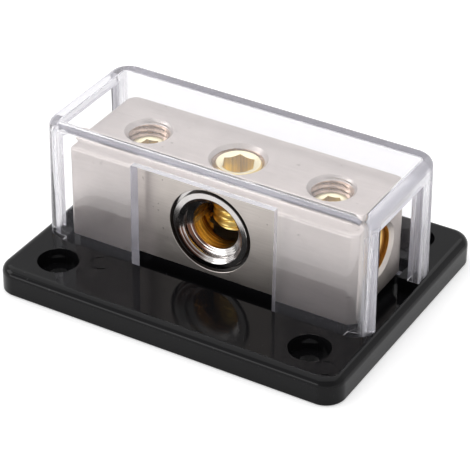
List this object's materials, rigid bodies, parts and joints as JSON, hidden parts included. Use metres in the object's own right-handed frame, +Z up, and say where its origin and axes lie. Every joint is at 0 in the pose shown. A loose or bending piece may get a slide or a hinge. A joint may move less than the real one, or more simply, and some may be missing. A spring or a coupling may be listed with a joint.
{
  "type": "power distribution block",
  "caption": "Power distribution block: moulded base, plated terminal block with set screws over its wire bores, and a clear lift-off cover with cable windows.",
  "frame": {"origin": "centre of the base's underside", "axes": "+X along the block's length, -Y out of the large bore, +Z up from the mounting surface"},
  "size_m": [0.076, 0.0598, 0.0316],
  "materials": {
    "base": "glossy black moulded",
    "terminal_block": "satin nickel plate",
    "cover": "clear polished",
    "set_screw": "gold plated",
    "fixing_screw": "zinc plated"
  },
  "bodies": {
    "body": {"base": "base", "terminal_block": "terminal_block", "left_fixing_screw": "fixing_screw", "right_fixing_screw": "fixing_screw"},
    "cover": {"cover": "cover"},
    "centre_screw": {"centre_set_screw": "set_screw"},
    "left_screw": {"left_set_screw": "set_screw"},
    "right_screw": {"right_set_screw": "set_screw"}
  },
  "joints": [
    {"name": "cover_lift", "type": "slide", "parent": "body", "child": "cover", "axis": [0, 0, 1], "range_m": [0, 0.026]},
    {"name": "centre_screw_travel", "type": "slide", "parent": "body", "child": "centre_screw", "axis": [0, 0, 1], "range_m": [-0.0038, 0.0048]},
    {"name": "left_screw_travel", "type": "slide", "parent": "body", "child": "left_screw", "axis": [0, 0, 1], "range_m": [-0.0032, 0.0068]},
    {"name": "right_screw_travel", "type": "slide", "parent": "body", "child": "right_screw", "axis": [0, 0, 1], "range_m": [-0.0032, 0.0068]}
  ]
}
